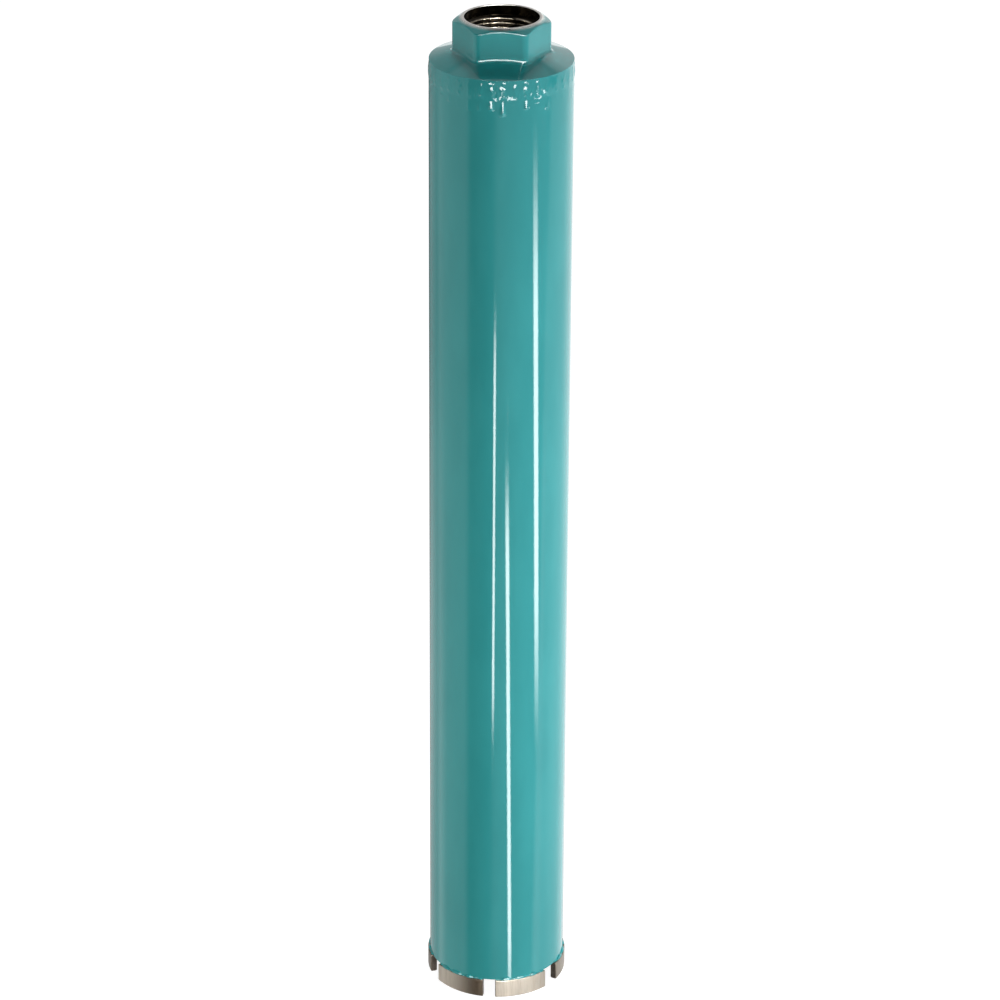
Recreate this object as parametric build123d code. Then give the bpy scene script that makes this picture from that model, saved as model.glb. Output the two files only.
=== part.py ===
from build123d import *
import math
import os

# A wet core bit: a steel tube with a threaded hexagonal hub welded to its top
# and six diamond segments brazed to its lower end.
# Frame: millimetres, +Z up along the bit's axis. The origin is on the axis, in the
# plane of the cutting tips that the bit stands on. The wrench flat that carries the
# front of the hub faces -Y.

# ---- Driving dimensions ------------------------------------------------------------

# Cutting crown
CUT_DIAMETER = 65.0          # hole that the bit drills
SEGMENT_COUNT = 6
SEGMENT_HEIGHT = 9.0
WATER_SLOT = 7.5             # open gap between segments, along the outer face
SEGMENT_FOOT_BREAK = 0.8     # chamfer round the cutting face
SEGMENT_EDGE_BREAK = 0.4     # and up the ends
OUTER_RELIEF = 1.0           # segment stands proud of the tube, outside
INNER_RELIEF = 0.3           # and inside
FIRST_SEGMENT_ANGLE = -6.0   # middle of segment 1, anticlockwise from +X
SEAT_DRIFT = {2: 1.5, 3: -1.5}   # hand-set segments, in degrees off the even pitch

# Tube
WORKING_LENGTH = 452.4       # cutting tips to the top edge of the flange rim
TUBE_WALL = 1.8

# Hub flange and its seat in the tube
RIM_HEIGHT = 7.1             # edge of the flange, from the weld seam up
RIM_CHAMFER = 0.35
RIM_UNDERSIZE = 0.1          # flange rim stands this far inside the tube's surface
FLANGE_SLOPE = 19.0          # degrees, top of the flange up to the hexagon
SPIGOT_LENGTH = 9.0          # guided inside the tube
SPIGOT_CLEARANCE = 0.1       # on the radius
SPIGOT_LEAD = 1.0

# Hub hexagon
HUB_HEIGHT = 18.5            # above the top edge of the flange rim
ACROSS_FLATS = 38.0
HEX_CORNER_RADIUS = 4.0
HEX_TURN = -1.0              # degrees about the axis
HEX_ROOT_RADIUS = 2.0        # fillet between hexagon and flange
TOP_RING_WIDTH = 1.0         # flat left between the bore's mouth and the top chamfer
TOP_CHAMFER_ANGLE = 30.0     # degrees below level

# Threaded bore, taken at the thread's major diameter
THREAD_MAJOR = 31.75
MOUTH_CLEARANCE = 0.425      # plain counterbore over the thread, on the radius
MOUTH_DEPTH = 4.5
MOUTH_BREAK = 0.2
COUNTERSINK_ANGLE = 30.0     # degrees below level, at the foot of the counterbore
BORE_EXIT_CHAMFER = 1.2

# Weld seam between tube and flange
GROOVE_DEPTH = 1.3           # of the V bevelled into both edges
BEAD_CROWN = 0.3             # bead stands this far proud of the tube
BEAD_CREST_WIDTH = 0.9

# ---- Worked out from them ----------------------------------------------------------

cut_radius = CUT_DIAMETER / 2
tube_radius = cut_radius - OUTER_RELIEF
tube_inner_radius = tube_radius - TUBE_WALL
segment_inner_radius = tube_inner_radius - INNER_RELIEF
segment_pitch = 360 / SEGMENT_COUNT
segment_angle = segment_pitch - math.degrees(WATER_SLOT / cut_radius)

tube_bottom = SEGMENT_HEIGHT
rim_top = WORKING_LENGTH
seam_level = rim_top - RIM_HEIGHT
hub_top = rim_top + HUB_HEIGHT
spigot_bottom = seam_level - SPIGOT_LENGTH

rim_radius = tube_radius - RIM_UNDERSIZE
groove_radius = tube_radius - GROOVE_DEPTH
rim_groove_top = seam_level + rim_radius - groove_radius
spigot_radius = tube_inner_radius - SPIGOT_CLEARANCE

flat_distance = ACROSS_FLATS / 2
core_radius = flat_distance - HEX_ROOT_RADIUS / 2
flange_rise = math.tan(math.radians(FLANGE_SLOPE))
core_level = rim_top + (rim_radius - RIM_CHAMFER - core_radius) * flange_rise

thread_radius = THREAD_MAJOR / 2
mouth_radius = thread_radius + MOUTH_CLEARANCE
mouth_level = hub_top - MOUTH_DEPTH
thread_top = mouth_level - MOUTH_CLEARANCE * math.tan(math.radians(COUNTERSINK_ANGLE))

top_face_radius = mouth_radius + TOP_RING_WIDTH
corner_radius = ACROSS_FLATS / math.sqrt(3)
chamfer_drop = (corner_radius - top_face_radius) * math.tan(math.radians(TOP_CHAMFER_ANGLE))


def turned(points):
    """A solid of revolution about the axis, from (radius, height) corners."""
    outline = Polyline(*points, close=True)
    return revolve(Plane.XZ * make_face(outline), Axis.Z)


# ---- Tube --------------------------------------------------------------------------

def core_tube():
    """Plain tube whose top edge is bevelled on the outside for the weld."""
    return turned([
        (tube_inner_radius, tube_bottom),
        (tube_radius, tube_bottom),
        (tube_radius, seam_level - GROOVE_DEPTH),
        (groove_radius, seam_level),
        (tube_inner_radius, seam_level),
    ])


# ---- Hub ---------------------------------------------------------------------------

def flange_blank():
    """Flange and spigot, turned, with a core that ends inside the hexagon."""
    return turned([
        (0, spigot_bottom),
        (spigot_radius - SPIGOT_LEAD, spigot_bottom),
        (spigot_radius, spigot_bottom + SPIGOT_LEAD),
        (spigot_radius, seam_level),
        (groove_radius, seam_level),
        (rim_radius, rim_groove_top),
        (rim_radius, rim_top - RIM_CHAMFER),
        (rim_radius - RIM_CHAMFER, rim_top),
        (core_radius, core_level),
        (0, core_level),
    ])


def hexagon_head():
    """Hexagonal prism with rounded corners and a turned chamfer round its top."""
    hexagon = RegularPolygon(flat_distance, 6, major_radius=False, rotation=HEX_TURN)
    hexagon = fillet(hexagon.vertices(), HEX_CORNER_RADIUS)
    prism = extrude(Pos(0, 0, rim_top) * hexagon, HUB_HEIGHT)
    envelope = turned([
        (0, rim_top),
        (corner_radius, rim_top),
        (corner_radius, hub_top - chamfer_drop),
        (top_face_radius, hub_top),
        (0, hub_top),
    ])
    return prism & envelope


def is_hex_root(edge):
    """True for the edges where the hexagon meets the top of the flange."""
    middle = edge @ 0.5
    radius = math.hypot(middle.X, middle.Y)
    return flat_distance - 0.5 < radius and rim_top + 0.5 < middle.Z < core_level


def bore_cutter():
    """Counterbore, countersink, threaded length and exit chamfer, as one tool."""
    return turned([
        (0, spigot_bottom),
        (thread_radius + BORE_EXIT_CHAMFER, spigot_bottom),
        (thread_radius, spigot_bottom + BORE_EXIT_CHAMFER),
        (thread_radius, thread_top),
        (mouth_radius, mouth_level),
        (mouth_radius, hub_top - MOUTH_BREAK),
        (mouth_radius + MOUTH_BREAK, hub_top),
        (0, hub_top),
    ])


def hub():
    """The hub is one turned and milled piece: spigot, flange, hexagon and bore."""
    body = flange_blank() + hexagon_head()
    body = fillet(body.edges().filter_by(is_hex_root), HEX_ROOT_RADIUS)
    return body - bore_cutter()


# ---- Weld seam ---------------------------------------------------------------------

def seam_weld():
    """Ring of weld metal that fills the V groove and stands a little proud."""
    crest_radius = tube_radius + BEAD_CROWN
    return turned([
        (tube_radius, seam_level - GROOVE_DEPTH),
        (crest_radius, seam_level - BEAD_CREST_WIDTH / 2),
        (crest_radius, seam_level + BEAD_CREST_WIDTH / 2),
        (rim_radius, rim_groove_top),
        (groove_radius, seam_level),
    ])


# ---- Cutting crown -----------------------------------------------------------------

def centre_angle(number):
    """Angle of a segment's middle, anticlockwise from +X, counted clockwise."""
    even_place = FIRST_SEGMENT_ANGLE - (number - 1) * segment_pitch
    return even_place - SEAT_DRIFT.get(number, 0)


def is_end_upright(edge):
    """True for a segment's four upright end edges, above the chamfered foot."""
    straight_height = SEGMENT_HEIGHT - SEGMENT_FOOT_BREAK
    return abs(abs((edge @ 1).Z - (edge @ 0).Z) - straight_height) < 0.01


def segment(number):
    """Sintered block, bent to the tube and flat on the tube's end, its free edges broken."""
    width = cut_radius - segment_inner_radius
    middle = segment_inner_radius + width / 2
    outline = Pos(middle, SEGMENT_HEIGHT / 2) * Rectangle(width, SEGMENT_HEIGHT)
    block = revolve(Plane.XZ * outline, Axis.Z, segment_angle)
    block = chamfer(block.edges().group_by(Axis.Z)[0], SEGMENT_FOOT_BREAK)
    upright_edges = [edge for edge in block.edges() if is_end_upright(edge)]
    block = chamfer(upright_edges, SEGMENT_EDGE_BREAK)
    return Rot(0, 0, centre_angle(number) - segment_angle / 2) * block


# ---- Files -------------------------------------------------------------------------

os.makedirs("parts", exist_ok=True)
pieces = {"core_tube": core_tube(), "hub": hub(), "seam_weld": seam_weld()}
for number in range(1, SEGMENT_COUNT + 1):
    pieces[f"segment_{number}"] = segment(number)

for name, piece in pieces.items():
    export_step(piece, f"parts/{name}.step")
    box = piece.bounding_box()
    print(f"{name:14s} {piece.volume:10.1f} mm3   z {box.min.Z:7.2f} to {box.max.Z:7.2f}")
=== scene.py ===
# %% [markdown]
# # A wet core bit
#
# The bit is a painted steel tube with a threaded hexagonal hub welded to its top and
# six diamond segments brazed to its lower end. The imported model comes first. It gives
# the true sizes, and every piece made below stands on the axis that it sets.

# %% Load the frame
import math
import bpy
import numpy as np
from mathutils import Matrix, Vector


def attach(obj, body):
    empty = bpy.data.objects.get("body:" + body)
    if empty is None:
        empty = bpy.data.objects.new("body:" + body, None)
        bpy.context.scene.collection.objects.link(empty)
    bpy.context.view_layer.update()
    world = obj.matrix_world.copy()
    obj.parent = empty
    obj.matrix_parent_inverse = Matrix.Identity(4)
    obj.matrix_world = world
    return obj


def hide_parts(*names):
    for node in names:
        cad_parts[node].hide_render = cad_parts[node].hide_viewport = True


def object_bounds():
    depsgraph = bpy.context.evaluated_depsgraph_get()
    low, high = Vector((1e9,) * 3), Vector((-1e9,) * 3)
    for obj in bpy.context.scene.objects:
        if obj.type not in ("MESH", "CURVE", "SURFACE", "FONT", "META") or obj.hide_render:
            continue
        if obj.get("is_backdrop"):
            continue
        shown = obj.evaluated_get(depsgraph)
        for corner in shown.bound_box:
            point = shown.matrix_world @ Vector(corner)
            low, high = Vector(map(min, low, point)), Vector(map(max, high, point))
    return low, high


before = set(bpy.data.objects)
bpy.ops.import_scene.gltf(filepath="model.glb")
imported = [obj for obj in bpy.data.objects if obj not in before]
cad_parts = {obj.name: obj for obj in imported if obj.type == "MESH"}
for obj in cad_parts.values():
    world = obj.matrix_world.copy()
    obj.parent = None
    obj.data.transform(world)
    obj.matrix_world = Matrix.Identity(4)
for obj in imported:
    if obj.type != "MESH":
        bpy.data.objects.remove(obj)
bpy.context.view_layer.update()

MM = 0.001
print("pieces in the frame:", ", ".join(sorted(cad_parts)))

# %% [markdown]
# ## The camera
#
# A long lens from a little above keeps the tube's sides almost parallel. The camera
# could be aimed with a constraint, but two plain turns are easier to read: tip it down
# from level, then lean it a touch. Its place is in millimetres, like all the bit's sizes.

# %% Camera
CAMERA_PLACE = (0.0, -1622.3, 992.4)
CAMERA_DIP = 24.80           # degrees below level
CAMERA_LEAN = 0.34           # degrees about the line of sight
FOCAL_IN_PICTURES = 3.95285  # focal length as a multiple of the picture's width
SENSOR_WIDTH = 36.0
SIDE_SHIFT = 0.000975        # of the picture's width
NEAREST, FARTHEST = 0.05, 50.0   # metres

lens = bpy.data.cameras.new("studio_camera")
lens.sensor_width = SENSOR_WIDTH
lens.lens = SENSOR_WIDTH * FOCAL_IN_PICTURES
lens.shift_x = SIDE_SHIFT
lens.clip_start = NEAREST
lens.clip_end = FARTHEST
camera = bpy.data.objects.new("studio_camera", lens)
bpy.context.scene.collection.objects.link(camera)
tip = Matrix.Rotation(math.radians(90 - CAMERA_DIP), 4, "X")
lean = Matrix.Rotation(math.radians(CAMERA_LEAN), 4, "Z")
camera.matrix_world = Matrix.Translation([MM * c for c in CAMERA_PLACE]) @ tip @ lean
bpy.context.scene.camera = camera
print("focal length:", round(lens.lens, 1), "mm")

# %% [markdown]
# ## Helpers for shader nodes
#
# Materials are built from nodes. These helpers make one node, set its values and return
# it, so that a material reads from top to bottom like a recipe.

# %% Node helpers
def node(tree, kind, inputs=None, **settings):
    """Adds a node, applies its settings, and fills its inputs with values or links."""
    made = tree.nodes.new(kind)
    for key, value in settings.items():
        setattr(made, key, value)
    for key, value in (inputs or {}).items():
        if isinstance(value, bpy.types.NodeSocket):
            tree.links.new(value, made.inputs[key])
        else:
            made.inputs[key].default_value = value
    return made


def maths(tree, operation, *values, clamp=False):
    """One step of arithmetic. The values are numbers or sockets; the result is a socket."""
    made = node(tree, "ShaderNodeMath", dict(enumerate(values)), operation=operation)
    made.use_clamp = clamp
    return made.outputs[0]


def ramp(tree, value, low, high, to_low=0.0, to_high=1.0, smooth=True):
    """Maps low..high to to_low..to_high, held flat outside, eased at both ends."""
    kind = "SMOOTHSTEP" if smooth else "LINEAR"
    made = node(tree, "ShaderNodeMapRange", interpolation_type=kind, clamp=True)
    for key, number in zip(("Value", "From Min", "From Max", "To Min", "To Max"),
                           (value, low, high, to_low, to_high)):
        if isinstance(number, bpy.types.NodeSocket):
            tree.links.new(number, made.inputs[key])
        else:
            made.inputs[key].default_value = number
    return made.outputs["Result"]


def new_group(name, inputs, outputs):
    """An empty node group with named sockets: {name: (kind, default)}."""
    tree = bpy.data.node_groups.new(name, "ShaderNodeTree")
    for title, (kind, default) in inputs.items():
        socket = tree.interface.new_socket(title, in_out="INPUT", socket_type=kind)
        if default is not None:
            socket.default_value = default
    for title, kind in outputs.items():
        tree.interface.new_socket(title, in_out="OUTPUT", socket_type=kind)
    return tree, tree.nodes.new("NodeGroupInput"), tree.nodes.new("NodeGroupOutput")


def use_group(tree, group, inputs=None):
    """Places a node group in a tree and fills its inputs."""
    return node(tree, "ShaderNodeGroup", inputs, node_tree=group)

# %% [markdown]
# ## The studio
#
# Gloss paint shows the room more than it shows itself. A real studio for such a part has
# a white sweep, large soft panels at both sides, a darker gap where the camera stands and
# a few narrow tubes. Real cards could be set up round the bit, but they would also throw
# light and shadows. The panels are instead drawn on the sky, for reflections only, so
# each can be moved without changing how the paint is lit.
#
# A panel is a patch of sky with soft edges, given by its bearing and its height above
# level. Bearing 0 is where the camera stands, +90 is to its right.

# %% A soft panel as a node group
FLOAT = "NodeSocketFloat"
soft_panel, panel_in, panel_out = new_group(
    "soft_panel",
    {"Bearing": (FLOAT, 0.0), "Height": (FLOAT, 0.0), "Middle": (FLOAT, 0.0),
     "Half Width": (FLOAT, 20.0), "Side Softness": (FLOAT, 5.0), "Foot": (FLOAT, -90.0),
     "Head": (FLOAT, 90.0), "End Softness": (FLOAT, 2.0), "Lean": (FLOAT, 0.0),
     "Strength": (FLOAT, 1.0)},
    {"Light": FLOAT})
g = panel_in.outputs
leaning = maths(soft_panel, "MULTIPLY", g["Height"], g["Lean"])
off = maths(soft_panel, "SUBTRACT", g["Bearing"], g["Middle"])
off = maths(soft_panel, "SUBTRACT", off, leaning)
off = maths(soft_panel, "ABSOLUTE", maths(soft_panel, "WRAP", off, 180.0, -180.0))
outer_side = maths(soft_panel, "ADD", g["Half Width"], g["Side Softness"])
across = ramp(soft_panel, off, g["Half Width"], outer_side, 1.0, 0.0)
below = maths(soft_panel, "SUBTRACT", g["Foot"], g["End Softness"])
above = maths(soft_panel, "ADD", g["Head"], g["End Softness"])
rising = ramp(soft_panel, g["Height"], below, g["Foot"])
falling = ramp(soft_panel, g["Height"], g["Head"], above, 1.0, 0.0)
upright = maths(soft_panel, "MULTIPLY", rising, falling)
shape = maths(soft_panel, "MULTIPLY", across, upright)
light = maths(soft_panel, "MULTIPLY", shape, g["Strength"])
soft_panel.links.new(light, panel_out.inputs["Light"])
print("panel controls:", len(panel_in.outputs) - 1)

# %% [markdown]
# The list below is the whole light plan for reflections. Heights below zero stand for the
# white floor, which the tall tube mirrors because the camera looks down on it. The thin
# lamps make the bright lines down the tube. The two front lamps are strong, but no plain
# wall turns them towards the camera. They show only on what is steep or round: the lumps
# of the weld, the edges of the hexagon, the crests of the thread and the paint's drips.

# %% The panels
PANELS = {
    # name: (middle, half width, side softness, foot, head, end softness, lean, strength)
    "room": (0, 180, 1, -90, 12, 10, 0, 0.10),
    "left_panel": (-86, 25, 16, -90, 14, 8, 0, 0.66),
    "left_back": (-138, 8, 20, -24, 32, 8, 0, 0.34),
    "left_floor": (-136, 20, 24, -90, -28, 6, 0, 0.48),
    "right_panel": (137.8, 46, 10, -34, -1, 2, 1.57, 0.86),
    "right_upper": (120, 40, 12, 1, 34, 8, 0, 0.70),
    "right_back": (158, 16, 24, -90, 26, 10, 0, 0.30),
    "back_wall": (-170, 30, 15, 0, 36, 8, 0, 0.40),
    "back_top": (180, 75, 15, 44, 66, 6, 0, 0.62),
    "front_fill": (36, 38, 14, -90, 10, 8, 0, 0.42),
    "table_glow": (62, 62, 16, -90, -40, 5, 0, 1.4),
    "thin_lamp_left": (-8, 1.0, 1.6, -27.4, -23.0, 1.0, 0, 16.0),
    "thin_lamp_middle": (18.3, 1.6, 2.4, -31.0, -25.6, 1.5, -1.5, 17.0),
    "thin_lamp_right": (62.5, 2.2, 3.4, -25.6, -22.3, 3.0, -1.6, 16.0),
    "thin_lamp_high": (29, 2.0, 2.0, 8, 60, 6, 0, 35.0),
    "front_lamp": (15, 42, 10, -4, 18, 3, 0, 18.0),
    "front_high": (15, 42, 10, 21, 38, 4, 0, 2.4),
}
DARK_ROOM = 0.02      # what reflections see between the panels
LOWEST_SEEN = -34     # the tube mirrors nothing lower

world = bpy.data.worlds.new("studio")
bpy.context.scene.world = world
world.use_nodes = True
sky = world.node_tree
sky.nodes.clear()
direction = node(sky, "ShaderNodeTexCoord").outputs["Generated"]
split = node(sky, "ShaderNodeSeparateXYZ", {"Vector": direction})
toward = maths(sky, "MULTIPLY", split.outputs["Y"], -1.0)
bearing = maths(sky, "DEGREES", maths(sky, "ARCTAN2", split.outputs["X"], toward))
height = maths(sky, "DEGREES", maths(sky, "ARCSINE", split.outputs["Z"]))
total = DARK_ROOM
for middle, half, side, foot, head, end, slant, strength in PANELS.values():
    # A leaning panel keeps its stated middle at the middle of its height.
    centre = middle - slant * (max(foot, LOWEST_SEEN) + head) / 2
    panel = use_group(sky, soft_panel, {
        "Bearing": bearing, "Height": height, "Middle": centre, "Half Width": half,
        "Side Softness": side, "Foot": foot, "Head": head, "End Softness": end,
        "Lean": slant, "Strength": strength})
    total = maths(sky, "ADD", panel.outputs["Light"], total)

# %% [markdown]
# The sky has three faces. The camera sees plain white. Reflections see the panels. All
# other light, which is what colours the paint itself, is an even glow that fades
# overhead, as it does under a tent that is open at the top.

# %% The sky's three faces
FILL_LEVEL = 1.30
FILL_OVERHEAD = 0.04
FADE_FROM, FADE_TO = 4.0, 30.0   # degrees above level
fill = ramp(sky, height, FADE_FROM, FADE_TO, FILL_LEVEL, FILL_OVERHEAD)
seen = node(sky, "ShaderNodeBackground", {"Color": (1, 1, 1, 1), "Strength": 1.0})
mirrored = node(sky, "ShaderNodeBackground", {"Color": (1, 1, 1, 1), "Strength": total})
glow = node(sky, "ShaderNodeBackground", {"Color": (1, 1, 1, 1), "Strength": fill})
path = node(sky, "ShaderNodeLightPath")
is_sharp = maths(sky, "MAXIMUM", path.outputs["Is Glossy Ray"], path.outputs["Is Transmission Ray"])
mixed = node(sky, "ShaderNodeMixShader", {0: is_sharp, 1: glow.outputs[0], 2: mirrored.outputs[0]})
mixed = node(sky, "ShaderNodeMixShader",
             {0: path.outputs["Is Camera Ray"], 1: mixed.outputs[0], 2: seen.outputs[0]})
node(sky, "ShaderNodeOutputWorld", {"Surface": mixed.outputs[0]})
print("panels on the sky:", len(PANELS))

# %% [markdown]
# ## Floor and lamps
#
# The floor is one large white sheet. Most of its white is its own, so that it runs into
# the white sky, and the rest is lit, so that the bit still throws a soft shadow. It lets
# reflections through to the panels.

# %% Floor
FLOOR_OWN_WHITE = 0.96
FLOOR_LIT_WHITE = 0.30
FLOOR_REACH = 6.0        # metres to each side
FLOOR_DROP = 0.00005     # metres below the tips, so that the two never share a plane

floor_mesh = bpy.data.meshes.new("floor")
sides = [(-1, -1), (1, -1), (1, 1), (-1, 1)]
floor_mesh.from_pydata([(FLOOR_REACH * x, FLOOR_REACH * y, 0) for x, y in sides], [], [(0, 1, 2, 3)])
floor = bpy.data.objects.new("floor", floor_mesh)
bpy.context.scene.collection.objects.link(floor)
floor.location.z = -FLOOR_DROP
sheet = bpy.data.materials.new("floor_white")
sheet.use_nodes = True
tree = sheet.node_tree
tree.nodes.clear()
path = node(tree, "ShaderNodeLightPath")
grey = (FLOOR_LIT_WHITE,) * 3 + (1,)
lit = node(tree, "ShaderNodeBsdfDiffuse", {"Color": grey})
seen = maths(tree, "MULTIPLY", path.outputs["Is Camera Ray"], FLOOR_OWN_WHITE)
own = node(tree, "ShaderNodeEmission", {"Color": (1, 1, 1, 1), "Strength": seen})
both = node(tree, "ShaderNodeAddShader", {0: lit.outputs[0], 1: own.outputs[0]})
clear = node(tree, "ShaderNodeBsdfTransparent", {"Color": (1, 1, 1, 1)})
surface = node(tree, "ShaderNodeMixShader",
               {0: path.outputs["Is Glossy Ray"], 1: both.outputs[0], 2: clear.outputs[0]})
node(tree, "ShaderNodeOutputMaterial", {"Surface": surface.outputs[0]})
floor_mesh.materials.append(sheet)
floor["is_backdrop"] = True
print("floor:", 2 * FLOOR_REACH, "m wide")

# %% [markdown]
# Three soft lamps shape the paint: a key at the right, almost level with the bit, a weak
# fill at the left, and one high at the back, whose light the hexagon keeps off the
# nearest part of the flange. The first two stand close and low, so that their light
# falls off up the tube. All are kept out of reflections, where the panels stand in for
# them.

# %% Lamps
AIM_HEIGHT = 0.22    # metres, about the middle of the bit
LAMPS = {
    # name: (bearing in degrees, distance and height in metres, size, power in watts, tint)
    "key_lamp": (68, 0.6, 0.15, (0.2, 0.35), 3.65, (0.95, 1.0, 1.05)),
    "fill_lamp": (-42, 0.5, 0.05, (0.25, 0.35), 1.45, (1.0, 1.0, 0.97)),
    "back_lamp": (180, 0.87, 1.8, (0.3, 0.3), 8.5, (1.0, 1.0, 1.0)),
}


def soft_lamp(name, bearing, distance, height, size, power, tint):
    """A flat lamp at (d sin b, -d cos b, h), aimed at the middle of the bit."""
    data = bpy.data.lights.new(name, "AREA")
    data.shape = "RECTANGLE"
    data.size, data.size_y = size
    data.energy = power
    data.color = tint
    lamp = bpy.data.objects.new(name, data)
    turn = math.radians(bearing)
    place = Matrix.Translation((distance * math.sin(turn), -distance * math.cos(turn), height))
    aim = (Vector((0, 0, AIM_HEIGHT)) - place.translation).to_track_quat("-Z", "Y")
    lamp.matrix_world = place @ aim.to_matrix().to_4x4()
    lamp.visible_camera = False
    lamp.visible_glossy = False
    bpy.context.scene.collection.objects.link(lamp)


for name, plan in LAMPS.items():
    soft_lamp(name, *plan)
print("lamps:", ", ".join(LAMPS))

# %% [markdown]
# ## Helpers for shapes
#
# Every piece of the bit closes on itself. Most are rings: a closed outline carried round
# the axis. A ring is a grid of points whose last row meets its first in both directions,
# so it has no seam and no pole.

# %% Closed grids
def ring_mesh(name, points):
    """A mesh on a grid of points (around, along, 3) that closes both ways. Each face
    joins a point to the next one around, the next one along and the one past both."""
    around, along = points.shape[:2]
    here = np.arange(around * along).reshape(around, along)
    beside = np.roll(here, -1, axis=0)
    quads = np.stack([here, beside, np.roll(beside, -1, axis=1), np.roll(here, -1, axis=1)], -1)
    return quad_mesh(name, points.reshape(-1, 3), quads.reshape(-1, 4))


def quad_mesh(name, points, quads):
    """A smooth-shaded mesh from arrays of points, in millimetres, and four-cornered faces."""
    mesh = bpy.data.meshes.new(name)
    mesh.vertices.add(len(points))
    mesh.vertices.foreach_set("co", (points * MM).astype(np.float32).ravel())
    mesh.loops.add(quads.size)
    mesh.loops.foreach_set("vertex_index", quads.astype(np.int32).ravel())
    mesh.polygons.add(len(quads))
    mesh.polygons.foreach_set("loop_start", np.arange(0, quads.size, 4, dtype=np.int32))
    mesh.polygons.foreach_set("use_smooth", np.ones(len(quads), dtype=bool))
    mesh.update(calc_edges=True)
    mesh.validate()
    return mesh


def finished_piece(mesh, materials, replaced=()):
    """Puts a mesh into the scene as a piece that rides with the bit."""
    piece = bpy.data.objects.new(mesh.name, mesh)
    bpy.context.scene.collection.objects.link(piece)
    for material in materials:
        mesh.materials.append(material)
    if replaced:
        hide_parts(*replaced)
    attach(piece, "root")
    print(f"{mesh.name}: {len(mesh.polygons)} faces")

# %% [markdown]
# Turned metal has no perfectly sharp edge. The outline of each ring is given by its
# corners, and each corner is swapped for an arc that meets both sides smoothly. That
# small arc is what catches the light along an edge.

# %% Outlines with rounded corners
FIRST_ROW = 0.25     # a straight run's first points stand this far from the arc, in mm,
MOST_OF_RUN = 0.2    # or at this share of the run, if that is nearer


def unit(vectors):
    """Each vector divided by its own length."""
    return vectors / np.linalg.norm(vectors, axis=-1, keepdims=True)


def rounded_outline(corners, radii, arc_steps, run_steps):
    """A closed outline. The arc at a corner starts at radius / tan(half the corner's
    angle) from it, and its centre is radius / sin(half the angle) along the bisector.
    The corners may be an array of outlines, one for each place round the axis."""
    corners = np.asarray(corners, dtype=float)
    back = unit(np.roll(corners, 1, axis=-2) - corners)
    ahead = unit(np.roll(corners, -1, axis=-2) - corners)
    half = np.arccos(np.clip((back * ahead).sum(-1), -1, 1)) / 2
    reach = (np.asarray(radii) / np.tan(half))[..., None]
    starts = corners + back * reach
    ends = corners + ahead * reach
    centres = corners + unit(back + ahead) * (np.asarray(radii) / np.sin(half))[..., None]
    sweep = (math.pi - 2 * half)[..., None]
    runs = []
    for i in range(corners.shape[-2]):
        u = np.linspace(0, 1, arc_steps[i] + 1)[:, None]
        angle = sweep[..., i, None, :]
        first = (starts - centres)[..., i, None, :]
        last = (ends - centres)[..., i, None, :]
        arc = (np.sin((1 - u) * angle) * first + np.sin(u * angle) * last) / np.sin(angle)
        runs.append(centres[..., i, None, :] + arc)
        begin = ends[..., i, None, :]
        finish = np.roll(starts, -1, axis=-2)[..., i, None, :]
        length = np.linalg.norm(finish - begin, axis=-1, keepdims=True)
        edge = np.minimum(FIRST_ROW / length, MOST_OF_RUN)
        v = np.linspace(0, 1, run_steps[i] + 2)[:, None]
        runs.append(begin + (finish - begin) * (edge + v * (1 - 2 * edge)))
    return np.concatenate(runs, axis=-2)


def carried_round(angles, outline):
    """Carries an outline of (radius, height) round the axis: x = r cos a, y = r sin a."""
    radius, height = np.broadcast_arrays(outline[..., 0], outline[..., 1])
    a = np.broadcast_to(angles[:, None], (len(angles), radius.shape[-1]))
    return np.stack([radius * np.cos(a), radius * np.sin(a), height + 0 * a], axis=-1)

# %% [markdown]
# ## Paint, steel and sintered metal
#
# The finishes share a few effects, so each effect is a node group that is built once.
# All of them measure in millimetres from the bit's own axis, so that a pattern keeps its
# true size and stays put on the metal.

# %% A point's place on the bit
COLOUR = "NodeSocketColor"


def place_on_bit(tree):
    """The point in millimetres, its distance from the axis, its height and its turn."""
    spot = node(tree, "ShaderNodeTexCoord").outputs["Object"]
    place = node(tree, "ShaderNodeVectorMath", {0: spot, "Scale": 1 / MM}, operation="SCALE").outputs[0]
    parts = node(tree, "ShaderNodeSeparateXYZ", {"Vector": place}).outputs
    flat = node(tree, "ShaderNodeCombineXYZ", {"X": parts["X"], "Y": parts["Y"]}).outputs[0]
    far = node(tree, "ShaderNodeVectorMath", {0: flat}, operation="LENGTH").outputs["Value"]
    return place, far, parts["Z"], maths(tree, "ARCTAN2", parts["Y"], parts["X"])


def noise(tree, place, scale, detail=2.0, stretch=None):
    """Soft noise from 0 to 1, with 1 / scale millimetres to a grain."""
    if stretch:
        place = node(tree, "ShaderNodeVectorMath", {0: place, 1: stretch},
                     operation="MULTIPLY").outputs[0]
    grains = node(tree, "ShaderNodeTexNoise", {"Vector": place, "Scale": scale, "Detail": detail})
    return grains.outputs["Fac"]


def blend(tree, share, first, second):
    """A colour between two: the first where the share is 0, the second where it is 1."""
    return node(tree, "ShaderNodeMix", {0: share, 6: first, 7: second}, data_type="RGBA").outputs[2]

# %% [markdown]
# Sprayed gloss paint is never quite flat: it dries with a faint orange-peel skin. The
# group gives that as a height for a bump.

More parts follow.
